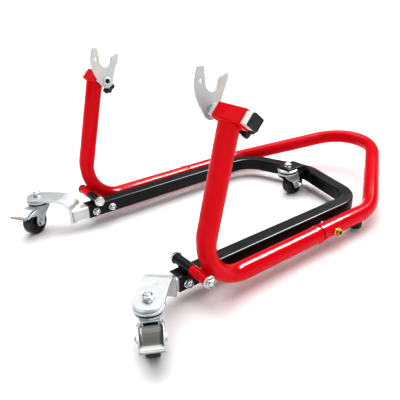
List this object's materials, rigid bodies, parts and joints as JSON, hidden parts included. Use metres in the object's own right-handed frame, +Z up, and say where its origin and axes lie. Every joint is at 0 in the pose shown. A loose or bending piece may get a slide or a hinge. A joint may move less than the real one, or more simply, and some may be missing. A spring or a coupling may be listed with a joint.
{
  "type": "motorcycle paddock stand",
  "caption": "Red tubular motorcycle rear stand with V-fork adapters, pivoted on a black square-tube dolly with swivel casters.",
  "frame": {"origin": "bottom centre of the bounding box at rest, on the floor", "axes": "+Z up, +Y from the open front towards the handle, +X to the left seen from the handle end looking forward"},
  "size_m": [0.5804, 0.8852, 0.3788],
  "materials": {
    "red_coat": "gloss",
    "black_coat": "satin",
    "zinc_plate": "satin",
    "zinc_fastener": "gloss",
    "yellow_zinc": "satin",
    "rubber": "matte",
    "wheel_plastic": "satin",
    "black_plastic": "matte"
  },
  "bodies": {
    "dolly": {"dolly_frame": "black_coat", "rear_caster_bracket": "black_coat", "dolly_pivot_sleeve_l": "black_coat", "dolly_pivot_sleeve_r": "black_coat", "caster_arm_l": "zinc_plate", "caster_arm_r": "zinc_plate", "arm_bolt_front_l": "zinc_fastener", "arm_bolt_front_r": "zinc_fastener", "arm_bolt_rear_l": "zinc_fastener", "arm_bolt_rear_r": "zinc_fastener", "arm_nut_front_l": "zinc_fastener", "arm_nut_front_r": "zinc_fastener", "arm_nut_rear_l": "zinc_fastener", "arm_nut_rear_r": "zinc_fastener", "pivot_bolt_l": "zinc_fastener", "pivot_bolt_r": "zinc_fastener", "pivot_nut_l": "zinc_fastener", "pivot_nut_r": "zinc_fastener", "caster_head_l": "zinc_plate", "caster_head_r": "zinc_plate", "caster_head_rear": "zinc_plate", "caster_nut_l": "zinc_fastener", "caster_nut_r": "zinc_fastener", "caster_nut_rear": "zinc_fastener"},
    "stand": {"handle": "red_coat", "stand_pivot_sleeve_l": "red_coat", "stand_pivot_sleeve_r": "red_coat", "side_tube_l": "red_coat", "side_tube_r": "red_coat", "handle_bolt_l": "yellow_zinc", "handle_bolt_r": "yellow_zinc", "handle_nut_l": "yellow_zinc", "handle_nut_r": "yellow_zinc", "rubber_foot_l": "rubber", "rubber_foot_r": "rubber", "adapter_socket_l": "red_coat", "adapter_socket_r": "red_coat"},
    "adapter_l": {"adapter_bar_l": "zinc_plate", "end_cap_l": "black_plastic", "fork_plate_l": "zinc_plate", "fork_bolt_l": "zinc_fastener", "fork_nut_l": "zinc_fastener"},
    "knob_l": {"clamp_knob_l": "black_plastic"},
    "pedal_l": {"brake_pedal_l": "zinc_plate"},
    "adapter_r": {"adapter_bar_r": "zinc_plate", "end_cap_r": "black_plastic", "fork_plate_r": "zinc_plate", "fork_bolt_r": "zinc_fastener", "fork_nut_r": "zinc_fastener"},
    "knob_r": {"clamp_knob_r": "black_plastic"},
    "pedal_r": {"brake_pedal_r": "zinc_plate"},
    "caster_l": {"caster_fork_l": "zinc_plate", "caster_axle_l": "zinc_fastener"},
    "wheel_l": {"caster_wheel_l": "wheel_plastic"},
    "caster_r": {"caster_fork_r": "zinc_plate", "caster_axle_r": "zinc_fastener"},
    "wheel_r": {"caster_wheel_r": "wheel_plastic"},
    "caster_rear": {"caster_fork_rear": "zinc_plate", "caster_axle_rear": "zinc_fastener"},
    "wheel_rear": {"caster_wheel_rear": "wheel_plastic"}
  },
  "joints": [
    {"name": "stand_pivot", "type": "hinge", "parent": "dolly", "child": "stand", "pos_m": [-0.01639, -0.26637, 0.0623], "axis": [1, 0, 0], "range_deg": [0, 60]},
    {"name": "adapter_slide_l", "type": "slide", "parent": "stand", "child": "adapter_l", "axis": [1, 0, 0], "range_m": [-0.012, 0.005]},
    {"name": "knob_turn_l", "type": "hinge", "parent": "stand", "child": "knob_l", "pos_m": [0.20911, -0.18127, 0.29016], "axis": [0, 0.7547, -0.6561], "range_deg": [-180, 180]},
    {"name": "adapter_slide_r", "type": "slide", "parent": "stand", "child": "adapter_r", "axis": [-1, 0, 0], "range_m": [-0.012, 0.005]},
    {"name": "knob_turn_r", "type": "hinge", "parent": "stand", "child": "knob_r", "pos_m": [-0.24189, -0.18127, 0.29016], "axis": [0, 0.7547, -0.6561], "range_deg": [-180, 180]},
    {"name": "caster_swivel_l", "type": "hinge", "parent": "dolly", "child": "caster_l", "pos_m": [0.21911, -0.37267, 0.06], "axis": [0, 0, 1], "continuous": true},
    {"name": "wheel_spin_l", "type": "hinge", "parent": "caster_l", "child": "wheel_l", "pos_m": [0.23835, -0.38333, 0.0275], "axis": [0.4848, 0.8746, 0], "continuous": true},
    {"name": "brake_pedal_hinge_l", "type": "hinge", "parent": "caster_l", "child": "pedal_l", "pos_m": [0.2366, -0.38236, 0.049], "axis": [0.4848, 0.8746, 0], "range_deg": [-12, 16]},
    {"name": "caster_swivel_r", "type": "hinge", "parent": "dolly", "child": "caster_r", "pos_m": [-0.25189, -0.37267, 0.06], "axis": [0, 0, 1], "continuous": true},
    {"name": "wheel_spin_r", "type": "hinge", "parent": "caster_r", "child": "wheel_r", "pos_m": [-0.24007, -0.39122, 0.0275], "axis": [0.8434, 0.5373, 0], "continuous": true},
    {"name": "brake_pedal_hinge_r", "type": "hinge", "parent": "caster_r", "child": "pedal_r", "pos_m": [-0.24114, -0.38953, 0.049], "axis": [0.8434, 0.5373, 0], "range_deg": [0, 28]},
    {"name": "caster_swivel_rear", "type": "hinge", "parent": "dolly", "child": "caster_rear", "pos_m": [-0.01639, 0.16633, 0.06], "axis": [0, 0, 1], "continuous": true},
    {"name": "wheel_spin_rear", "type": "hinge", "parent": "caster_rear", "child": "wheel_rear", "pos_m": [-0.01754, 0.1883, 0.0275], "axis": [-0.9986, -0.0523, 0], "continuous": true}
  ]
}
